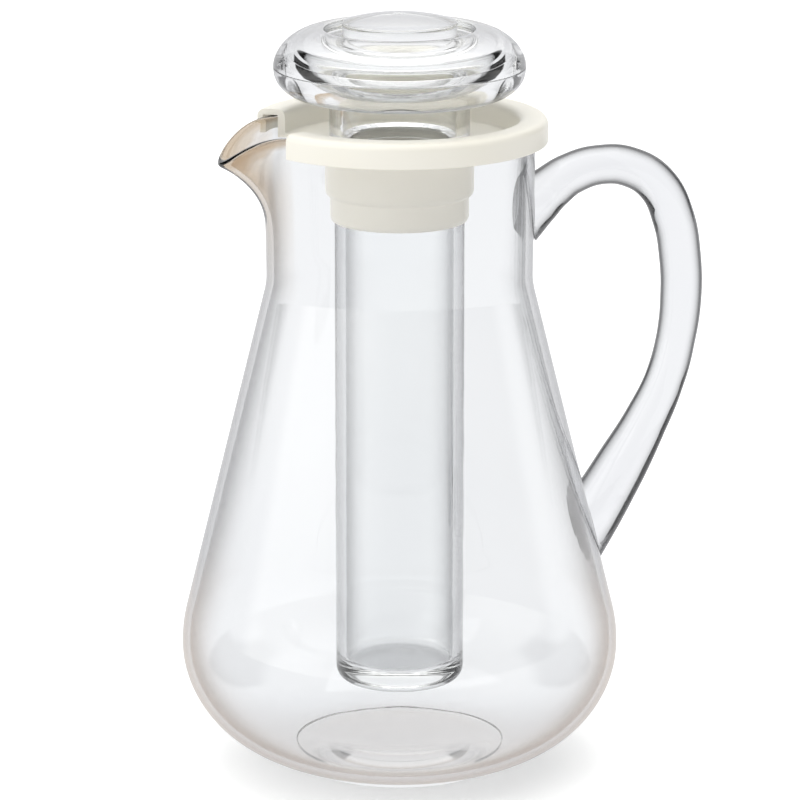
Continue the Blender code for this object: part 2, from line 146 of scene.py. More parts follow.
class PitcherBodySizes(bpy.types.PropertyGroup):
    foot_radius: length("Foot radius", "Radius of the flat foot disc", 42.9 * MM)
    foot_edge: length("Foot edge", "Rounding of the foot disc's lower edge", 0.6 * MM)
    base_height: length("Base height", "Height of the bowl's lowest point", 1.9 * MM)
    base_flat: length("Base flat", "Radius of the flat middle of the bowl", 34.3 * MM)
    belly_radius: length("Belly radius", "Largest radius of the body", 88.0 * MM)
    belly_height: length("Belly height", "Height of the largest radius", 49.0 * MM)
    belly_curve: length("Belly curve", "Radius of the arc above the belly", 60.0 * MM)
    neck_radius: length("Neck radius", "Radius where the cone meets the neck", 52.9 * MM)
    neck_height: length("Neck height", "Height where the cone meets the neck", 197.8 * MM)
    neck_curve: length("Neck curve", "Radius of the bend between cone and neck", 30.0 * MM)
    rim_radius: length("Rim radius", "Radius of the neck at its rim", 53.6 * MM)
    rim_height: length("Rim height", "Height of the rim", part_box("pitcher_body")[1][2])
    rim_edge: length("Rim edge", "Rounding of the rim", 1.35 * MM)
    wall: length("Wall", "Thickness of the body's wall", 3.0 * MM)
    bead: length("Bead", "How far the spout's lip swells on each side of the wall", 0.75 * MM)
    spout_reach: length("Spout reach", "How far the lip stands out of the neck", 18.9 * MM)
    spout_drop: length("Spout drop", "How far the lip dips below the rim", 14.0 * MM)
    spout_root: length("Spout root", "Height where the spout starts to leave the neck", 212.0 * MM)
    handle_radius: length("Handle radius", "Half the thickness of the handle's rod", 8.5 * MM)
    handle_reach: length("Handle reach", "Distance from the axis to the grip's middle", 116.9 * MM)
    columns: IntProperty(name="Columns", description="Faces round the body", default=224, min=24)


class PitcherLidSizes(bpy.types.PropertyGroup):
    ring_radius: length("Ring radius", "Outer radius of the lid ring", 58.5 * MM)
    ring_height: length("Ring height", "Height of the ring's outer skirt", 9.9 * MM)
    ring_wall: length("Ring wall", "Thickness of the ring's skirt and top", 2.4 * MM)
    ring_crest: length("Ring crest", "Rounding of the ring's top", 3.0 * MM)
    ring_inner_radius: length("Ring inner radius", "Radius of the recess inside the ring", 47.0 * MM)
    leg_radius: length("Leg radius", "Radius of the leg that centres the ring in the neck", 50.0 * MM)
    floor_rise: length("Floor rise", "Height of the recess floor over the skirt's edge", 0.2 * MM)
    floor_wall: length("Floor wall", "Thickness of the recess floor", 1.6 * MM)
    gap_chord: length("Gap chord", "Distance from the axis to the straight edge over the spout", 41.0 * MM)
    gap_half_angle: FloatProperty(
        name="Gap half angle",
        description="Half the opening of the ring over the spout",
        default=math.radians(28.2),
        subtype="ANGLE",
    )
    cut_edge: length("Cut edge", "Rounding of the ring's two ends over the spout", 0.6 * MM)
    fine_edge: length("Fine edge", "Rounding of the ring's small corners", 0.35 * MM)
    recess_edge: length("Recess edge", "Rounding at the foot of the recess's wall", 1.05 * MM)
    bore_edge: length("Bore edge", "Rounding of the sleeve's lower inner edge", 0.2 * MM)
    step_height: length("Step height", "Height of the sleeve's outer step", 233.5 * MM)
    sleeve_bottom: length("Sleeve bottom", "Height of the sleeve's lower edge", 223.2 * MM)
    sleeve_wall: length("Sleeve wall", "Thickness of the sleeve", 1.35 * MM)
    sleeve_edge: length("Sleeve edge", "Rounding of the sleeve's steps", 2.5 * MM)
    tube_radius: length("Tube radius", "Outer radius of the ice tube", 25.75 * MM)
    tube_head_radius: length("Tube head radius", "Outer radius of the tube's head and the stem", 27.7 * MM)
    tube_bore: length("Tube bore", "Inner radius of the ice tube", 21.7 * MM)
    tube_bottom: length("Tube bottom", "Height of the tube's lower end", 33.0 * MM)
    tube_base: length("Tube base", "Thickness of the tube's closed end", 8.0 * MM)
    tube_stand: length("Tube stand", "How far the tube's rim stands over the recess floor", 1.2 * MM)
    tube_rim_edge: length("Tube rim edge", "Rounding of the tube's rim", 0.5 * MM)
    tube_head_edge: length("Tube head edge", "Rounding under the tube's head", 0.3 * MM)
    tube_floor_edge: length("Tube floor edge", "Rounding inside the tube's closed end", 4.0 * MM)
    tube_end_edge: length("Tube end edge", "Rounding outside the tube's closed end", 6.0 * MM)


class PitcherKnobSizes(bpy.types.PropertyGroup):
    radius: length("Radius", "Largest radius of the knob", 49.7 * MM)
    seam_height: length("Seam height", "Height of the seam round the knob", 284.6 * MM)
    bottom_height: length("Bottom height", "Height of the knob's underside", 272.1 * MM)
    bottom_radius: length("Bottom radius", "Radius of the flat underside", 33.0 * MM)
    crest_radius: length("Crest radius", "Radius of the rim's crest", 31.5 * MM)
    crest_height: length("Crest height", "Height of the rim's crest", 299.5 * MM)
    groove_radius: length("Groove radius", "Outer radius of the ring-shaped groove", 29.5 * MM)
    groove_depth: length("Groove depth", "Depth of the groove below the crest", 4.0 * MM)
    dome_radius: length("Dome radius", "Radius of the raised middle", 22.4 * MM)
    dome_edge_height: length("Dome edge height", "Height of the raised middle's edge", 302.0 * MM)
    dome_height: length("Dome height", "Height of the knob's top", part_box("knob_upper_shell")[1][2])
    gate_radius: length("Gate radius", "Radius of the small moulding mark on the dome", 2.5 * MM)
    gate_depth: length("Gate depth", "Depth of the moulding mark", 0.4 * MM)
    gate_edge: length("Gate edge", "Rounding of the moulding mark", 0.3 * MM)
    dome_edge: length("Dome edge", "Rounding of the raised middle's edge", 0.6 * MM)
    groove_lean: length("Groove lean", "How far each wall of the groove leans outwards", 0.3 * MM)
    groove_edge: length("Groove edge", "Rounding at the foot of the groove's walls", 1.3 * MM)
    crest_dip: length("Crest dip", "How far the groove's outer edge lies below the crest", 0.15 * MM)
    crest_edge: length("Crest edge", "Rounding of the groove's outer edge", 0.5 * MM)
    seam_edge: length("Seam edge", "Rounding of both shells along the seam and of the spigot", 0.25 * MM)
    hollow_radius: length("Hollow radius", "Radius of the knob's hollow", 37.5 * MM)
    hollow_flat: length("Hollow flat", "Radius of the hollow's flat floor and roof", 24.0 * MM)
    roof: length("Roof", "Thickness over the hollow below the groove", 5.0 * MM)
    floor: length("Floor", "Thickness under the hollow", 4.5 * MM)
    stem_bore: length("Stem bore", "Inner radius of the stem", 22.5 * MM)
    spigot_depth: length("Spigot depth", "Length of the spigot inside the tube", 4.0 * MM)
    spigot_wall: length("Spigot wall", "Thickness of the spigot", 1.8 * MM)
    bore_edge: length("Bore edge", "Rounding where the stem's bore meets the hollow", 1.5 * MM)
    stem_root_edge: length("Stem root edge", "Rounding where the stem leaves the knob", 0.8 * MM)
    stem_edge: length("Stem edge", "Rounding of the stem's lower edge", 0.5 * MM)
    top_power: FloatProperty(name="Top squareness", description="2 is an ellipse", default=1.85)
    bottom_power: FloatProperty(name="Bottom squareness", description="2 is an ellipse", default=2.3)
    hollow_power: FloatProperty(name="Hollow squareness", description="2 is an ellipse", default=2.6)


def colour(name, description, default):
    return FloatVectorProperty(
        name=name, description=description, default=default, subtype="COLOR", min=0.0, max=1.0
    )


class PitcherFinish(bpy.types.PropertyGroup):
    clear: colour("Clear acrylic", "Tint of the body, handle and knob", (0.992, 0.996, 0.995))
    clear_dim: colour("Dense acrylic", "Tint where the plastic is a little denser", (0.968, 0.975, 0.978))
    tube: colour("Tube acrylic", "Tint of the ice tube", (0.985, 0.990, 0.990))
    ivory: colour("Ivory", "Colour of the lid ring", (0.81, 0.785, 0.705))
    ivory_warm: colour("Warm ivory", "Colour of the lid ring's warmer flow marks", (0.79, 0.76, 0.66))
    # Painted light: a paler ivory that brightens the thin sleeve, which sits in shade inside the neck
    ivory_sleeve_light: colour("Thin ivory", "Colour of the ring's thin sleeve", (0.95, 0.915, 0.82))
    # Painted shade: the edge tints below darken the clear pieces where they are seen edge on
    edge: colour("Body edge", "Tint where the body is seen edge on", (0.05, 0.05, 0.055))
    # Painted shade: a warm brown edge tint round the belly and the foot
    edge_shade_warm: colour("Body edge, warm", "The same round the belly and the foot", (0.27, 0.16, 0.08))
    edge_shade_soft: colour("Soft edge", "Tint where tube and knob are seen edge on", (0.26, 0.26, 0.27))
    rod: colour("Handle acrylic", "Tint of the handle", (0.955, 0.96, 0.97))
    # Painted shade: the handle's near-black edge tint
    rod_edge_shade: colour("Handle edge", "Tint where the handle is seen edge on", (0.015, 0.015, 0.016))
    # Painted shade: a tan tint on the spout's lip and keel
    lip: colour("Lip", "Tint of the spout's lip", (0.62, 0.49, 0.35))
    floor: colour("Floor", "Colour of the studio floor", (0.93, 0.93, 0.93))
    seed: FloatProperty(name="Seed", description="Shifts every surface pattern", default=3.0)


def fillet_outline(outline, steps=5):
    """Rounds the points of an outline that carry a third number, their cut-back length."""
    points = []
    count = len(outline)
    for index, item in enumerate(outline):
        if len(item) == 2:
            points.append(item)
            continue
        corner = Vector(item[:2])
        ends = []
        for other in (outline[index - 1], outline[(index + 1) % count]):
            away = Vector(other[:2]) - corner
            ends.append(corner + away.normalized() * min(item[2], away.length * 0.49))
        for step in range(steps + 1):
            share = step / steps
            point = ends[0] * (1 - share) ** 2 + corner * 2 * share * (1 - share) + ends[1] * share**2
            points.append((point.x, point.y))
    return points


def arc(center, radii, start, end, steps, power=2.0):
    """Points on an elliptical arc between two angles in degrees, squarer where the power is over 2."""
    points = []
    for step in range(steps + 1):
        angle = math.radians(start + (end - start) * step / steps)
        across = math.copysign(abs(math.cos(angle)) ** (2 / power), math.cos(angle))
        along = math.copysign(abs(math.sin(angle)) ** (2 / power), math.sin(angle))
        points.append((center[0] + radii[0] * across, center[1] + radii[1] * along))
    return points


def turned(outline, closed, steps=TURN_STEPS):
    """A bmesh solid turned about the Z axis from an outline of (radius, height)."""
    solid = bmesh.new()
    points = [solid.verts.new((max(radius, 0.0), 0.0, height)) for radius, height in outline]
    pairs = list(zip(points, points[1:]))
    if closed:
        pairs.append((points[-1], points[0]))
    edges = [solid.edges.new(pair) for pair in pairs]
    bmesh.ops.spin(
        solid,
        geom=points + edges,
        cent=(0.0, 0.0, 0.0),
        axis=(0.0, 0.0, 1.0),
        angle=math.tau,
        steps=steps,
        use_merge=True,
    )
    tidy_solid(solid)
    return solid


def tidy_solid(solid):
    bmesh.ops.remove_doubles(solid, verts=solid.verts, dist=MERGE_DISTANCE)
    bmesh.ops.dissolve_degenerate(solid, edges=solid.edges, dist=MERGE_DISTANCE)
    bmesh.ops.recalc_face_normals(solid, faces=solid.faces)
    if solid.calc_volume(signed=True) < 0.0:
        bmesh.ops.reverse_faces(solid, faces=solid.faces)


def shade(piece, material, crease):
    """Gives the piece its one material and smooth faces between hard creases."""
    mesh = piece.data
    mesh.materials.clear()
    if material is not None:
        mesh.materials.append(material)
    mesh.shade_smooth()
    mesh.set_sharp_from_angle(angle=math.radians(crease))


def as_piece(solid, name, material):
    """Turns a finished bmesh into an object in the scene."""
    mesh = bpy.data.meshes.new(name)
    solid.to_mesh(mesh)
    solid.free()
    piece = bpy.data.objects.new(name, mesh)
    bpy.context.scene.collection.objects.link(piece)
    shade(piece, material, TURNED_CREASE)
    return piece


def carry(piece, body, node):
    """Makes the piece move with its body in the place of the plain node."""
    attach(piece, body)
    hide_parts(node)


def baked_modifiers(piece):
    """Applies the piece's modifiers to its mesh."""
    graph = bpy.context.evaluated_depsgraph_get()
    mesh = bpy.data.meshes.new_from_object(piece.evaluated_get(graph))
    plain = piece.data
    piece.modifiers.clear()
    piece.data = mesh
    bpy.data.meshes.remove(plain)
    mesh.name = piece.name


def cut(piece, cutter):
    """Takes the cutter's space out of the piece and removes the cutter."""
    difference = piece.modifiers.new("Cut", "BOOLEAN")
    difference.operation = "DIFFERENCE"
    difference.object = cutter
    baked_modifiers(piece)
    mesh = cutter.data
    bpy.data.objects.remove(cutter, do_unlink=True)
    bpy.data.meshes.remove(mesh)


# Shader maths


class Wave:
    """A socket that can be added, multiplied or taken from a number, each adding its Math node."""

    def __init__(self, shader, socket):
        self.shader = shader
        self.socket = socket

    def maths(self, operation, *values):
        node = self.shader.add("ShaderNodeMath", {"operation": operation}, dict(enumerate(values)))
        return Wave(self.shader, node.outputs[0])

    def __add__(self, other):
        return self.maths("ADD", self, other)

    def __mul__(self, other):
        return self.maths("MULTIPLY", self, other)

    def __rsub__(self, other):
        return self.maths("SUBTRACT", other, self)

    def clamped(self, low, high):
        settings = {"clamp": True, "interpolation_type": "SMOOTHSTEP"}
        values = {"Value": self, "From Min": low, "From Max": high, "To Min": 0.0, "To Max": 1.0}
        node = self.shader.add("ShaderNodeMapRange", settings, values)
        return Wave(self.shader, node.outputs["Result"])


class Shader:
    """A material's node tree and the nodes that its pattern is made of."""

    def __init__(self, name):
        self.material = bpy.data.materials.new(name)
        self.material.use_nodes = True
        self.tree = self.material.node_tree
        self.surface = self.tree.nodes["Principled BSDF"]
        self.place = self.add("ShaderNodeTexCoord").outputs["Object"]

    def add(self, kind, settings=None, values=None):
        node = self.tree.nodes.new(kind)
        for key, value in (settings or {}).items():
            setattr(node, key, value)
        for key, value in (values or {}).items():
            self.feed(node.inputs[key], value)
        return node

    def feed(self, socket, value):
        value = getattr(value, "socket", value)
        if isinstance(value, bpy.types.NodeSocket):
            self.tree.links.new(value, socket)
        else:
            socket.default_value = value

    def moved(self, stretch, shift=(0.0, 0.0, 0.0)):
        values = {"Vector": self.place, "Location": shift, "Scale": stretch}
        return self.add("ShaderNodeMapping", {}, values).outputs["Vector"]

    def noise(self, scale, detail=2.0, roughness=0.5, stretch=(1.0, 1.0, 1.0), shift=(0.0, 0.0, 0.0)):
        values = {
            "Vector": self.moved(stretch, shift),
            "Scale": scale,
            "Detail": detail,
            "Roughness": roughness,
        }
        return Wave(self, self.add("ShaderNodeTexNoise", {}, values).outputs["Fac"])

    def height(self):
        split = self.add("ShaderNodeSeparateXYZ", {}, {"Vector": self.place})
        return Wave(self, split.outputs["Z"])

    def mix(self, factor, first, second):
        """Blends two colours, each given as three numbers or as a socket."""
        ends = [(*end, 1.0) if isinstance(end, tuple) else end for end in (first, second)]
        node = self.add("ShaderNodeMix", {"data_type": "RGBA"}, {0: factor, 6: ends[0], 7: ends[1]})
        return node.outputs[2]

    def facing(self):
        """0 where the surface faces the eye and 1 where it is seen edge on."""
        return Wave(self, self.add("ShaderNodeLayerWeight", {}, {"Blend": 0.5}).outputs["Facing"])

    def seen(self):
        """1 where the eye looks through the plastic and 0 for light that a matt surface gathers."""
        depth = Wave(self, self.add("ShaderNodeLightPath").outputs["Diffuse Depth"])
        return depth.maths("LESS_THAN", depth, 0.5)

    def mark(self, name):
        """A value that the piece's mesh keeps at each of its points."""
        return Wave(self, self.add("ShaderNodeAttribute", {"attribute_name": name}).outputs["Fac"])

    def bump(self, height, strength, distance):
        values = {"Height": height, "Strength": strength, "Distance": distance}
        return self.add("ShaderNodeBump", {}, values).outputs["Normal"]

    def finish(self, constants, patterns):
        for key, value in constants.items():
            self.surface.inputs[key].default_value = value
        for key, value in patterns.items():
            self.feed(self.surface.inputs[key], value)
        return self.material


def clear_plastic(name, tint, edge, edge_shade_range=WALL_EDGE_SHADE, ripple=1.0, lip=None, warm_edge_shade=None):
    """Polished acrylic: faint flow ripples from the mould, uneven density and painted shade that darkens its
    edges where they are seen edge on.
    """
    shader = Shader(name)
    finish = bpy.context.scene.pitcher_finish
    seed = finish.seed
    density = shader.noise(9.0, detail=1.5, shift=(seed, 0.0, 0.0)).clamped(0.35, 0.75)
    flow = shader.noise(38.0, detail=1.0, stretch=(1.0, 1.0, 0.35), shift=(0.0, seed, 0.0))
    haze = shader.noise(160.0, detail=2.0, shift=(0.0, 0.0, seed)).clamped(0.55, 0.80)
    body = shader.mix(density, tint, tuple(finish.clear_dim))
    # Painted shade: the edge tint is warm brown low on the body and plain higher up
    if warm_edge_shade is not None:
        edge = shader.mix(shader.height().clamped(*WARM_SHADE_HEIGHTS), warm_edge_shade, edge)
    # Painted shade: tan on the spout's lip, and along its keel where it is seen edge on
    if lip is not None:
        rim, keel_shade = shader.mark(LIP_SHADE_MARK), shader.mark(KEEL_SHADE_MARK)
        body = shader.mix(keel_shade * shader.facing().clamped(*KEEL_EDGE_SHADE) * shader.seen(), body, lip)
        body = shader.mix(rim, body, lip)
        edge = shader.mix(keel_shade, edge, tuple(value * 0.5 for value in lip))
        edge = shader.mix(rim, edge, lip)
    patterns = {
        # Painted shade: the colour turns to the edge tint where the surface is seen edge on
        "Base Color": shader.mix(shader.facing().clamped(*edge_shade_range) * shader.seen(), body, edge),
        "Roughness": haze * 0.018 + 0.006,
        "Normal": shader.bump(flow, 0.05 * ripple, FLOW_DEPTH),
    }
    constants = {"Transmission Weight": 1.0, "IOR": ACRYLIC_IOR, "Metallic": 0.0}
    return shader.finish(constants, patterns)


def ivory_plastic(name, colour_a, colour_b, thin, sleeve_top):
    """Thin milky moulded plastic: soft gloss, fine grain, warmer flow marks, a sleeve painted paler as light
    and a faint painted glow.
    """
    shader = Shader(name)
    seed = bpy.context.scene.pitcher_finish.seed
    flow = shader.noise(22.0, detail=3.0, stretch=(1.0, 1.0, 2.0), shift=(seed, seed, 0.0)).clamped(0.3, 0.8)
    grain = shader.noise(1400.0, detail=2.0, roughness=0.6)
    wave = shader.noise(60.0, detail=2.0, shift=(seed, 0.0, 0.0))
    tone = shader.mix(flow * 0.6, colour_a, colour_b)
    # Painted light: below the ring's skirt the sleeve turns paler
    tone = shader.mix(shader.height().clamped(sleeve_top - SLEEVE_LIGHT_FADE, sleeve_top), thin, tone)
    patterns = {
        "Base Color": tone,
        # Painted glow: the ring gives off a little light of its own in its own colours
        "Emission Color": tone,
        "Roughness": wave * 0.10 + grain * 0.06 + 0.24,
        "Normal": shader.bump(grain * 0.25 + wave, 0.12, GRAIN_DEPTH),
    }
    # Strength of the painted glow
    constants = {"Emission Strength": 0.15, "IOR": 1.5, "Metallic": 0.0}
    return shader.finish(constants, patterns)


# Body


def cone_angle(sizes):
    """Angle from the widest point to where the straight cone leaves the belly's upper arc."""
    run = sizes.neck_radius - (sizes.belly_radius - sizes.belly_curve)
    rise = sizes.neck_height - sizes.belly_height
    return math.atan2(rise, run) - math.acos(sizes.belly_curve / math.hypot(run, rise))


def body_outline(sizes, fine):
    """Outer outline of the body from the middle of its base up to the rim, without the spout."""
    slope = cone_angle(sizes)
    bowl_center = (sizes.base_flat, sizes.belly_height)
    bowl_radii = (sizes.belly_radius - sizes.base_flat, sizes.belly_height - sizes.base_height)
    base = arc(bowl_center, bowl_radii, -90, 0, 4 * fine)
    foot_share = (sizes.foot_radius - sizes.base_flat) / bowl_radii[0]
    foot_top = sizes.belly_height - bowl_radii[1] * math.sqrt(1 - foot_share**2)
    base = [point for point in base if abs(point[0] - sizes.foot_radius) > FOOT_ROW_GAP]
    base.append((sizes.foot_radius, foot_top))
    base.sort()
    curve = (sizes.belly_curve, sizes.belly_curve)
    shoulder_center = (sizes.belly_radius - sizes.belly_curve, sizes.belly_height)
    shoulder = arc(shoulder_center, curve, 0, math.degrees(slope), 2 * fine)
    flare = math.atan2(sizes.rim_radius - sizes.neck_radius, sizes.rim_height - sizes.neck_height)
    tangent = sizes.neck_curve * math.tan((slope + flare) / 2)
    bend = []
    for step in range(fine + 1):
        turn = slope - (slope + flare) * step / fine
        inward = tangent * math.sin(slope) + sizes.neck_curve * (math.cos(slope) - math.cos(turn))
        upward = sizes.neck_curve * (math.sin(slope) - math.sin(turn)) - tangent * math.cos(slope)
        bend.append((sizes.neck_radius + inward, sizes.neck_height + upward))
    neck = []
    rows = 5 * fine
    for row in range(rows + 1):
        height = sizes.spout_root + (sizes.rim_height - sizes.spout_root) * row / rows
        share = (height - sizes.neck_height) / (sizes.rim_height - sizes.neck_height)
        neck.append((sizes.neck_radius + (sizes.rim_radius - sizes.neck_radius) * share, height))
    return [(0.0, sizes.base_height)] + base + shoulder[1:] + bend + neck


def spout_pull(sizes, radius, height, angle):
    """Moves a point of the round neck out and down into the spout."""
    turn = abs(angle) / SPOUT_HALF_ANGLE
    if turn >= 1.0 or height <= sizes.spout_root:
        return radius, height
    side = math.cos(turn * math.pi / 2)
    rise = (height - sizes.spout_root) / (sizes.rim_height - sizes.spout_root)
    radius += sizes.spout_reach * side**SPOUT_SIDE_POWER * rise**SPOUT_KEEL_POWER
    return radius, sizes.spout_root + rise * (lip_height(sizes, angle) - sizes.spout_root)


def body_sheet(sizes, fine, columns, growth, with_spout):
    """The body's outer surface as one sheet, its columns crowded towards the spout.

    A grown sheet is closed at the top, so that it can cut.
    """
    sheet = bmesh.new()
    points = [sheet.verts.new((-radius, 0.0, height)) for radius, height in body_outline(sizes, fine)]
    edges = [sheet.edges.new(pair) for pair in zip(points, points[1:])]
    bmesh.ops.spin(
        sheet,
        geom=points + edges,
        cent=(0.0, 0.0, 0.0),
        axis=(0.0, 0.0, 1.0),
        angle=math.tau,
        steps=columns,
        use_merge=True,
    )
    bmesh.ops.remove_doubles(sheet, verts=sheet.verts, dist=MERGE_DISTANCE)
    for vert in sheet.verts:
        radius = math.hypot(vert.co.x, vert.co.y)
        angle = math.atan2(-vert.co.y, -vert.co.x)
        angle -= BODY_CROWDING * math.sin(angle)
        height = vert.co.z
        if with_spout:
            radius, height = spout_pull(sizes, radius, height, angle)
        if radius > 0.0:
            radius += growth
        vert.co = (-radius * math.cos(angle), -radius * math.sin(angle), height)
    if growth:
        bmesh.ops.holes_fill(sheet, edges=[edge for edge in sheet.edges if edge.is_boundary])
    bmesh.ops.recalc_face_normals(sheet, faces=sheet.faces)
    if sheet.calc_volume(signed=True) < 0.0:
        bmesh.ops.reverse_faces(sheet, faces=sheet.faces)
    return sheet


def step_foot(solid, sizes):
    """Draws the middle of the underside down into the flat foot disc."""
    limit = sizes.foot_radius + FOOT_TOLERANCE
    top = sizes.base_height + FOOT_REACH
    under = []
    for face in solid.faces:
        if face.normal.z > -0.5 or face.calc_center_median().z > top:
            continue
        if all(math.hypot(vert.co.x, vert.co.y) < limit for vert in face.verts):
            under.append(face)
    bmesh.ops.delete(solid, geom=under, context="FACES")
    edges = [edge for edge in solid.edges if edge.is_boundary]
    shrink = (sizes.foot_radius - sizes.foot_edge) / sizes.foot_radius
    middle = sizes.foot_edge * (1 - math.sqrt(0.5))
    levels = (
        (sizes.foot_edge, 1.0),
        (middle, 1.0 - (1.0 - shrink) * (1 - math.sqrt(0.5))),
        (0.0, shrink),
    )
    last = 1.0
    for height, scale in levels:
        grown = bmesh.ops.extrude_edge_only(solid, edges=edges)["geom"]
        verts = [item for item in grown if isinstance(item, bmesh.types.BMVert)]
        edges = [item for item in grown if isinstance(item, bmesh.types.BMEdge) and item.is_boundary]
        for vert in verts:
            vert.co.x *= scale / last
            vert.co.y *= scale / last
            vert.co.z = height
        last = scale
    bmesh.ops.contextual_create(solid, geom=edges)


def lip_height(sizes, angle):
    """Height of the rim at an angle from the spout."""
    turn = min(abs(angle) / SPOUT_HALF_ANGLE, 1.0)
    return sizes.rim_height - sizes.spout_drop * math.cos(turn * math.pi / 2) ** SPOUT_DROP_POWER


def finish_lip(solid, sizes):
    """Swells the spout's lip into a bead, and marks the lip and the keel for painted tan shade."""
    solid.normal_update()
    mark = solid.verts.layers.float.new(LIP_SHADE_MARK)
    keel_shade_mark = solid.verts.layers.float.new(KEEL_SHADE_MARK)
    normals = {vert: vert.normal.copy() for vert in solid.verts}
    for vert, normal in normals.items():
        angle = math.atan2(-vert.co.y, -vert.co.x)
        below = lip_height(sizes, angle) - vert.co.z
        round_spout = 1.0 - min(abs(angle) / LIP_SHADE_ANGLE, 1.0) ** 2
        vert[mark] = max(0.0, min(1.0, (BEAD_DEPTH - below) / LIP_SHADE_FADE)) * round_spout
        turn = abs(angle) / BEAD_HALF_ANGLE
        rise = (vert.co.z - sizes.spout_root) / (sizes.rim_height - sizes.spout_root)
        vert[keel_shade_mark] = max(0.0, 1.0 - turn) ** 0.5 * max(0.0, min(1.0, rise + 0.4))
        if turn < 1.0 and below < BEAD_DEPTH:
            share = math.cos(turn * math.pi / 2) * (1.0 - max(below, 0.0) / BEAD_DEPTH)
            normal.z *= 0.3
            vert.co += normal * sizes.bead * share


def make_body(sizes, material):
    solid = body_sheet(sizes, BODY_FINENESS, sizes.columns, growth=0.0, with_spout=True)
    bmesh.ops.solidify(solid, geom=solid.faces[:], thickness=sizes.wall)
    tidy_solid(solid)
    step_foot(solid, sizes)
    tidy_solid(solid)
    rim = []
    for edge in solid.edges:
        if not edge.is_manifold or edge.calc_face_angle() < math.radians(RIM_CREASE):
            continue
        if all(vert.co.z > sizes.spout_root for vert in edge.verts):
            rim.append(edge)
    bmesh.ops.bevel(
        solid, geom=rim, offset=sizes.rim_edge, offset_type="OFFSET", segments=4, profile=0.5,
        affect="EDGES", clamp_overlap=True, material=-1,
    )
    tidy_solid(solid)
    finish_lip(solid, sizes)
    piece = as_piece(solid, "body_shell", material)
    carry(piece, "pitcher", "pitcher_body")
    return piece


def make_handle(sizes, material):
    """A bent rod with flared roots, cut to the body's wall at both ends."""
    curve = bpy.data.curves.new("handle_route", "CURVE")
    curve.dimensions = "3D"
    curve.bevel_depth = sizes.handle_radius
    curve.bevel_resolution = 16
    curve.resolution_u = 10
    curve.use_fill_caps = True
    spline = curve.splines.new("BEZIER")
    spline.bezier_points.add(len(HANDLE_ROUTE_SHARES) - 1)
    for point, (out, up, thickness) in zip(spline.bezier_points, HANDLE_ROUTE_SHARES):
        reach = sizes.neck_radius + (sizes.handle_reach - sizes.neck_radius) * out
        height = HANDLE_FOOT + (HANDLE_TOP - HANDLE_FOOT) * up
        point.co = (reach, 0.0, height)
        point.radius = thickness
        point.handle_left_type = "AUTO"
        point.handle_right_type = "AUTO"
    route = bpy.data.objects.new("handle_route", curve)
    bpy.context.scene.collection.objects.link(route)
    graph = bpy.context.evaluated_depsgraph_get()
    rod = bmesh.new()
    mesh = bpy.data.meshes.new_from_object(route.evaluated_get(graph))
    rod.from_mesh(mesh)
    bpy.data.meshes.remove(mesh)
    bpy.data.objects.remove(route, do_unlink=True)
    bpy.data.curves.remove(curve)
    tidy_solid(rod)
    piece = as_piece(rod, "handle_rod", None)
    seat = body_sheet(sizes, SEAT_FINENESS, SEAT_COLUMNS, growth=SEAT_GAP, with_spout=False)
    cutter = as_piece(seat, "handle_seat", None)
    cut(piece, cutter)
    shade(piece, material, CUT_CREASE)
    carry(piece, "pitcher", "handle")
    return piece


# Lid ring, tube and knob


def lid_heights(lid, body):
    """Heights that the ring's, the tube's and the knob's outlines share."""
    underside = body.rim_height + SEAT_GAP
    top = underside + lid.ring_wall
    bottom = top - lid.ring_height
    floor = bottom + lid.floor_rise
    rim = floor + lid.tube_stand
    ledge = lid.step_height + lid.sleeve_wall
    return {
        "underside": underside,
        "top": top,
        "bottom": bottom,
        "floor": floor,
        "tube_rim": rim,
        "ledge": ledge,
    }


def ring_outline(lid, body):
    """Section through the lid ring: hooked rim, sunk floor and stepped sleeve."""
    at = lid_heights(lid, body)
    crest = lid.ring_crest
    fine = lid.fine_edge
    outer = arc((lid.ring_radius - crest, at["top"] - crest), (crest, crest), 90, 0, CREST_STEPS)
    inner = arc((lid.ring_inner_radius + crest, at["top"] - crest), (crest, crest), 180, 90, CREST_STEPS)
    head = lid.tube_head_radius + SLIDE_GAP + lid.sleeve_wall
    tail = lid.tube_radius + SLIDE_GAP + lid.sleeve_wall
    lip = lid.sleeve_wall * 0.8
    under = at["floor"] - lid.floor_wall
    head_center = (head - lid.sleeve_wall, lid.step_height + lid.sleeve_edge)
    head_edge = arc(head_center, (lid.sleeve_wall, lid.sleeve_edge), 0, -90, SLEEVE_STEPS)
    tail_center = (tail - lip, lid.sleeve_bottom + lid.sleeve_edge)
    tail_edge = arc(tail_center, (lip, lid.sleeve_edge), 0, -90, SLEEVE_STEPS)
    middle = [
        (lid.ring_radius, at["bottom"], fine),
        (lid.ring_radius - lid.ring_wall, at["bottom"], fine),
        (lid.ring_radius - lid.ring_wall, at["underside"], fine),
        (lid.leg_radius, at["underside"], fine),
        (lid.leg_radius, under, fine),
        (head, under, fine),
    ]
    bore = [
        (tail - lid.sleeve_wall, lid.sleeve_bottom, lid.bore_edge),
        (tail - lid.sleeve_wall, at["ledge"]),
        (head - lid.sleeve_wall, at["ledge"]),
        (head - lid.sleeve_wall, at["floor"], fine),
        (lid.ring_inner_radius, at["floor"], lid.recess_edge),
    ]
    sleeve = head_edge + [(tail, lid.step_height)] + tail_edge
    return fillet_outline(outer + middle + sleeve + bore + inner)


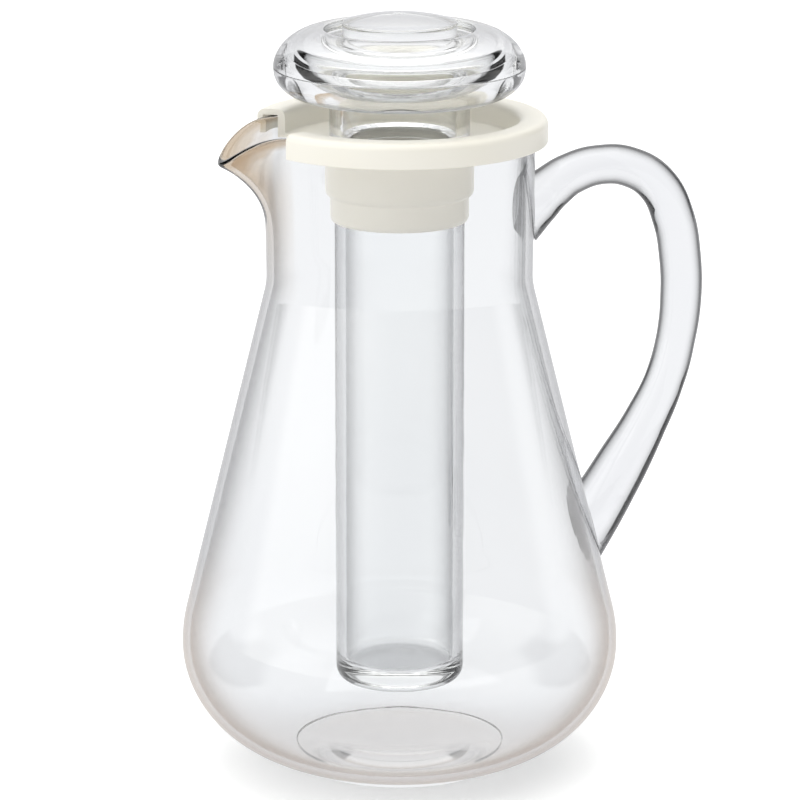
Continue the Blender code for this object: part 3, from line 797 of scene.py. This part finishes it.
def make_ring(lid, body, material):
    at = lid_heights(lid, body)
    piece = as_piece(turned(ring_outline(lid, body), closed=True), "lid_ring", None)
    far = lid.ring_radius + OVERRUN
    spread = math.tan(lid.gap_half_angle)
    low = at["floor"] - lid.floor_wall - OVERRUN
    block = bmesh.new()
    bmesh.ops.create_cube(block, size=1.0)
    for vert in block.verts:
        out = far if vert.co.x < 0.0 else lid.gap_chord
        height = low if vert.co.z < 0.0 else at["top"] + OVERRUN
        vert.co = (-out, math.copysign(out * spread, vert.co.y), height)
    bmesh.ops.recalc_face_normals(block, faces=block.faces)
    cut(piece, as_piece(block, "gap_block", None))
    edges = piece.modifiers.new("Cut edges", "BEVEL")
    edges.width = lid.cut_edge
    edges.segments = 4
    edges.limit_method = "ANGLE"
    edges.angle_limit = math.radians(RING_CUT_CREASE)
    edges.use_clamp_overlap = True
    baked_modifiers(piece)
    shade(piece, material, CUT_CREASE)
    carry(piece, "lid_ring", "collar")
    return piece


def make_tube(lid, body, material):
    """A thick closed tube that hangs by its wider head on the sleeve's ledge."""
    at = lid_heights(lid, body)
    shoulder = at["ledge"] + SEAT_GAP
    floor = lid.tube_bottom + lid.tube_base
    outline = fillet_outline([
        (0.0, floor),
        (lid.tube_bore, floor, lid.tube_floor_edge),
        (lid.tube_bore, at["tube_rim"], lid.tube_rim_edge),
        (lid.tube_head_radius, at["tube_rim"], lid.tube_rim_edge),
        (lid.tube_head_radius, shoulder, lid.tube_head_edge),
        (lid.tube_radius, shoulder),
        (lid.tube_radius, lid.tube_bottom, lid.tube_end_edge),
        (0.0, lid.tube_bottom),
    ], steps=8)
    piece = as_piece(turned(outline, closed=False), "tube_shell", material)
    carry(piece, "tube", "ice_tube")
    return piece


def make_knob_top(knob, material):
    """The knob's top half: a domed middle, a ring-shaped groove and a wide rounded rim."""
    seam = knob.seam_height + SEAT_GAP / 2
    groove = knob.crest_height - knob.groove_depth
    rim_radii = (knob.radius - knob.crest_radius, knob.crest_height - knob.seam_height)
    rim = arc((knob.crest_radius, knob.seam_height), rim_radii, 90, 1, RIM_STEPS, knob.top_power)
    gate = knob.dome_height - knob.gate_depth
    dome = [(0.0, gate), (knob.gate_radius * GATE_FLOOR_SHARE, gate, knob.gate_edge)]
    for step in range(DOME_STEPS + 1):
        out = knob.gate_radius + (knob.dome_radius - knob.gate_radius) * step / DOME_STEPS
        share = out / knob.dome_radius
        height = knob.dome_height + (knob.dome_edge_height - knob.dome_height) * share**2
        dome.append((knob.dome_radius * share, height))
    dome[2] = (*dome[2], knob.gate_edge)
    dome[-1] = (*dome[-1], knob.dome_edge)
    roof = groove - knob.roof
    hollow_radii = (knob.hollow_radius - knob.hollow_flat, roof - knob.seam_height)
    middle = (knob.hollow_flat, knob.seam_height)
    hollow = arc(middle, hollow_radii, 1, 90, HOLLOW_STEPS, knob.hollow_power)
    groove_points = [
        (knob.dome_radius + knob.groove_lean, groove, knob.groove_edge),
        (knob.groove_radius, groove, knob.groove_edge),
        (knob.groove_radius + knob.groove_lean, knob.crest_height - knob.crest_dip, knob.crest_edge),
    ]
    edge = knob.seam_edge
    outline = dome + groove_points + rim + [(knob.radius, seam, edge), (knob.hollow_radius, seam, edge)]
    outline = fillet_outline(outline + hollow + [(0.0, roof)], steps=6)
    piece = as_piece(turned(outline, closed=False), "knob_top", material)
    carry(piece, "knob", "knob_upper_shell")
    return piece


def make_knob_bottom(knob, lid, body, material):
    """The knob's bottom half, with a hollow stem whose spigot closes the tube's mouth."""
    at = lid_heights(lid, body)
    seam = knob.seam_height - SEAT_GAP / 2
    floor = knob.bottom_height + knob.floor
    stem = at["tube_rim"] + SEAT_GAP
    spigot = lid.tube_bore - SLIDE_GAP
    spigot_bottom = stem - knob.spigot_depth
    bowl_radii = (knob.radius - knob.bottom_radius, knob.seam_height - knob.bottom_height)
    bowl_center = (knob.bottom_radius, knob.seam_height)
    bowl = arc(bowl_center, bowl_radii, -1, -90, RIM_STEPS, knob.bottom_power)
    hollow_radii = (knob.hollow_radius - knob.hollow_flat, knob.seam_height - floor)
    middle = (knob.hollow_flat, knob.seam_height)
    hollow = arc(middle, hollow_radii, -90, -1, HOLLOW_STEPS, knob.hollow_power)
    edge = knob.seam_edge
    outline = [
        (spigot - knob.spigot_wall, spigot_bottom, edge),
        (spigot - knob.spigot_wall, stem, edge),
        (knob.stem_bore, stem + knob.spigot_wall, edge),
        (knob.stem_bore, floor, knob.bore_edge),
    ]
    outline += hollow + [(knob.hollow_radius, seam, edge), (knob.radius, seam, edge)] + bowl
    outline += [
        (lid.tube_head_radius, knob.bottom_height, knob.stem_root_edge),
        (lid.tube_head_radius, stem, knob.stem_edge),
        (spigot, stem, edge),
        (spigot, spigot_bottom, edge),
    ]
    piece = as_piece(turned(fillet_outline(outline, steps=6), closed=True), "knob_bottom", material)
    carry(piece, "knob", "knob_lower_shell")
    return piece


# Studio

VIEW_BEARING = math.radians(13.3)
VIEW_PITCH = math.radians(14.714)
VIEW_DISTANCE = 1.7
VIEW_HEIGHT = 0.5953
VIEW_LENS = 197.72
VIEW_SHIFT = 0.0005
SENSOR_WIDTH = 36.0
# Each softbox: its name, place, aim, side and power
SOFTBOXES = (
    ("Top softbox", (0.0, 0.3, 2.2), (0.0, 0.0, 0.1), 1.8, 9.0),
    ("Key softbox", (-1.4, -1.2, 1.6), (0.0, 0.0, 0.2), 1.2, 3.0),
)
# How often light may pass or bounce before it is lost
CLEAR_BOUNCES = 32
MATT_BOUNCES = 8
FLOOR_RADIUS = 9.0
FLOOR_DROP = 0.3 * MM
FLOOR_SIDES = 96
WHITE = (1.0, 1.0, 1.0)
# The floor's own light seen directly, and its light and shade seen through the clear pieces
FLOOR_GLOW = (0.40, 0.40, 0.40)
FLOOR_GLOW_INSIDE = (0.72, 0.725, 0.745)
FLOOR_SHADE_INSIDE = (0.18, 0.18, 0.18)
# The studio's walls: pale behind the object, and a bright left and a dim right on the camera's side.
# Each fade runs between two sines of the angle across, along or up the view.
WALLS = (0.94, 0.945, 0.96)
FRONT_LEFT = (1.70, 1.70, 1.67)
FRONT_RIGHT = (0.36, 0.36, 0.37)
FRONT_FADE = (-0.90, 0.0)
BEHIND_FADE = (-0.12, 0.10)
CEILING = (1.35, 1.35, 1.33)
CEILING_FADE = (0.35, 0.95)
DRAPE_COLOUR = (0.012, 0.012, 0.012)
DRAPE_INNER = (0.54, 0.60)
DRAPE_OUTER = (0.90, 0.96)
DRAPE_TOP = (0.55, 0.70)


def make_floor(material):
    sheet = bmesh.new()
    bmesh.ops.create_circle(sheet, cap_ends=True, segments=FLOOR_SIDES, radius=FLOOR_RADIUS)
    bmesh.ops.translate(sheet, verts=sheet.verts, vec=(0.0, 0.0, -FLOOR_DROP))
    floor = as_piece(sheet, "studio_floor", material)
    return floor


def floor_material(tint):
    """Matt and lit from below: white by itself, a little greyer where the clear pieces show it."""
    shader = Shader("Studio floor")
    dust = shader.noise(3.0, detail=3.0).clamped(0.3, 0.8)
    direct = shader.add("ShaderNodeLightPath").outputs["Is Camera Ray"]
    bare = shader.mix(dust * 0.3, tint, tuple(value * 0.985 for value in tint))
    patterns = {
        "Base Color": shader.mix(direct, FLOOR_SHADE_INSIDE, bare),
        "Emission Color": shader.mix(direct, FLOOR_GLOW_INSIDE, FLOOR_GLOW),
        "Roughness": dust * 0.1 + 0.8,
    }
    return shader.finish({"Specular IOR Level": 0.0, "Emission Strength": 1.0}, patterns)


def make_softbox(name, place, aim, side, power):
    light = bpy.data.lights.new(name, "AREA")
    light.shape = "SQUARE"
    light.size = side
    light.energy = power
    lamp = bpy.data.objects.new(name, light)
    bpy.context.scene.collection.objects.link(lamp)
    lamp.location = place
    lamp.rotation_euler = (Vector(aim) - Vector(place)).to_track_quat("-Z", "Y").to_euler()
    return lamp


class WorldShader(Shader):
    """The studio round the floor: the same node helpers on the world's tree."""

    def __init__(self, name):
        self.material = bpy.data.worlds.new(name)
        self.material.use_nodes = True
        self.tree = self.material.node_tree
        self.surface = self.tree.nodes["Background"]
        self.place = self.add("ShaderNodeTexCoord").outputs["Generated"]


def make_world():
    """Pale walls with two dark drapes, one at each side of the camera's view."""
    shader = WorldShader("Studio")
    turn = {"Vector": shader.place, "Rotation": (0.0, 0.0, VIEW_BEARING)}
    turned_place = shader.add("ShaderNodeMapping", {}, turn).outputs["Vector"]
    split = shader.add("ShaderNodeSeparateXYZ", {}, {"Vector": turned_place})
    sideways = Wave(shader, split.outputs["X"])
    across = sideways.maths("ABSOLUTE", sideways)
    up = Wave(shader, split.outputs["Z"])
    behind = Wave(shader, split.outputs["Y"]).clamped(*BEHIND_FADE)
    drape = across.clamped(*DRAPE_INNER) * (1 - across.clamped(*DRAPE_OUTER))
    drape = drape * (1 - up.clamped(*DRAPE_TOP))
    front = shader.mix(sideways.clamped(*FRONT_FADE), FRONT_LEFT, FRONT_RIGHT)
    walls = shader.mix(behind, front, WALLS)
    walls = shader.mix(up.clamped(*CEILING_FADE), walls, CEILING)
    studio = shader.mix(drape * behind, walls, DRAPE_COLOUR)
    direct = shader.add("ShaderNodeLightPath").outputs["Is Camera Ray"]
    shader.finish({"Strength": 1.0}, {"Color": shader.mix(direct, studio, WHITE)})
    bpy.context.scene.world = shader.material
    bpy.context.scene.view_settings.view_transform = "Standard"


def deepen_light_paths():
    """Lets light through all the clear walls that stand one behind another."""
    light_paths = bpy.context.scene.cycles
    light_paths.max_bounces = CLEAR_BOUNCES
    light_paths.transmission_bounces = CLEAR_BOUNCES
    light_paths.glossy_bounces = CLEAR_BOUNCES
    light_paths.diffuse_bounces = MATT_BOUNCES


def make_camera():
    view = bpy.data.cameras.new("Camera")
    camera = bpy.data.objects.new("Camera", view)
    bpy.context.scene.collection.objects.link(camera)
    across, along = math.sin(VIEW_BEARING), math.cos(VIEW_BEARING)
    camera.location = (-VIEW_DISTANCE * across, -VIEW_DISTANCE * along, VIEW_HEIGHT)
    camera.rotation_euler = (math.pi / 2 - VIEW_PITCH, 0.0, -VIEW_BEARING)
    view.sensor_width = SENSOR_WIDTH
    view.lens = VIEW_LENS
    view.shift_x = VIEW_SHIFT
    view.dof.use_dof = False
    bpy.context.scene.camera = camera
    return camera


# Operators


class PITCHER_OT_body(bpy.types.Operator):
    """Build the clear body with its spout and foot"""

    bl_idname = "pitcher.body"
    bl_label = "Body"

    def execute(self, context):
        finish = context.scene.pitcher_finish
        material = clear_plastic(
            "Clear body acrylic", tuple(finish.clear), tuple(finish.edge),
            lip=tuple(finish.lip), warm_edge_shade=tuple(finish.edge_shade_warm),
        )
        make_body(context.scene.pitcher_body, material)
        return {"FINISHED"}


class PITCHER_OT_handle(bpy.types.Operator):
    """Build the clear rod handle"""

    bl_idname = "pitcher.handle"
    bl_label = "Handle"

    def execute(self, context):
        finish = context.scene.pitcher_finish
        tints = (tuple(finish.rod), tuple(finish.rod_edge_shade))
        material = clear_plastic("Clear handle acrylic", *tints, ROD_EDGE_SHADE)
        make_handle(context.scene.pitcher_body, material)
        return {"FINISHED"}


class PITCHER_OT_lid_ring(bpy.types.Operator):
    """Build the ivory lid ring with its sleeve"""

    bl_idname = "pitcher.lid_ring"
    bl_label = "Lid ring"

    def execute(self, context):
        finish = context.scene.pitcher_finish
        lid, body = context.scene.pitcher_lid, context.scene.pitcher_body
        tones = (tuple(finish.ivory), tuple(finish.ivory_warm), tuple(finish.ivory_sleeve_light))
        material = ivory_plastic("Ivory lid plastic", *tones, lid_heights(lid, body)["bottom"])
        make_ring(lid, body, material)
        return {"FINISHED"}


class PITCHER_OT_tube(bpy.types.Operator):
    """Build the clear ice tube"""

    bl_idname = "pitcher.tube"
    bl_label = "Ice tube"

    def execute(self, context):
        finish = context.scene.pitcher_finish
        tints = (tuple(finish.tube), tuple(finish.edge_shade_soft))
        material = clear_plastic("Clear tube acrylic", *tints, TUBE_EDGE_SHADE, TUBE_RIPPLE)
        make_tube(context.scene.pitcher_lid, context.scene.pitcher_body, material)
        return {"FINISHED"}


class PITCHER_OT_knob(bpy.types.Operator):
    """Build the two clear shells of the knob"""

    bl_idname = "pitcher.knob"
    bl_label = "Knob"

    def execute(self, context):
        finish = context.scene.pitcher_finish
        material = clear_plastic("Clear knob acrylic", tuple(finish.clear), tuple(finish.edge_shade_soft))
        knob, lid = context.scene.pitcher_knob, context.scene.pitcher_lid
        make_knob_top(knob, material)
        make_knob_bottom(knob, lid, context.scene.pitcher_body, material)
        return {"FINISHED"}


class PITCHER_OT_stage(bpy.types.Operator):
    """Build the floor, the walls, the lights and the camera"""

    bl_idname = "pitcher.stage"
    bl_label = "Studio"

    def execute(self, context):
        make_camera()
        make_world()
        deepen_light_paths()
        make_floor(floor_material(tuple(context.scene.pitcher_finish.floor)))
        for softbox in SOFTBOXES:
            make_softbox(*softbox)
        return {"FINISHED"}


STEPS = (
    ("pitcher.stage", "Studio"),
    ("pitcher.body", "Body"),
    ("pitcher.handle", "Handle"),
    ("pitcher.lid_ring", "Lid ring"),
    ("pitcher.tube", "Ice tube"),
    ("pitcher.knob", "Knob"),
)


class PITCHER_PT_panel(bpy.types.Panel):
    """Sidebar panel that lists the pitcher's pieces"""

    bl_label = "Clear pitcher"
    bl_idname = "PITCHER_PT_panel"
    bl_space_type = "VIEW_3D"
    bl_region_type = "UI"
    bl_category = "Pitcher"

    def draw(self, context):
        for operator, label in STEPS:
            self.layout.operator(operator, text=label)
        for name in GROUPS:
            group = getattr(context.scene, name)
            column = self.layout.column()
            for key in group.__annotations__:
                column.prop(group, key)


GROUPS = {
    "pitcher_body": PitcherBodySizes,
    "pitcher_lid": PitcherLidSizes,
    "pitcher_knob": PitcherKnobSizes,
    "pitcher_finish": PitcherFinish,
}
CLASSES = (
    *GROUPS.values(),
    PITCHER_OT_body,
    PITCHER_OT_handle,
    PITCHER_OT_lid_ring,
    PITCHER_OT_tube,
    PITCHER_OT_knob,
    PITCHER_OT_stage,
    PITCHER_PT_panel,
)


def register():
    for item in CLASSES:
        bpy.utils.register_class(item)
    for name, group in GROUPS.items():
        setattr(bpy.types.Scene, name, bpy.props.PointerProperty(type=group))


def unregister():
    for name in GROUPS:
        delattr(bpy.types.Scene, name)
    for item in reversed(CLASSES):
        bpy.utils.unregister_class(item)


def main():
    register()
    for operator, _ in STEPS:
        group, name = operator.split(".")
        getattr(getattr(bpy.ops, group), name)()


if __name__ == "__main__":
    main()
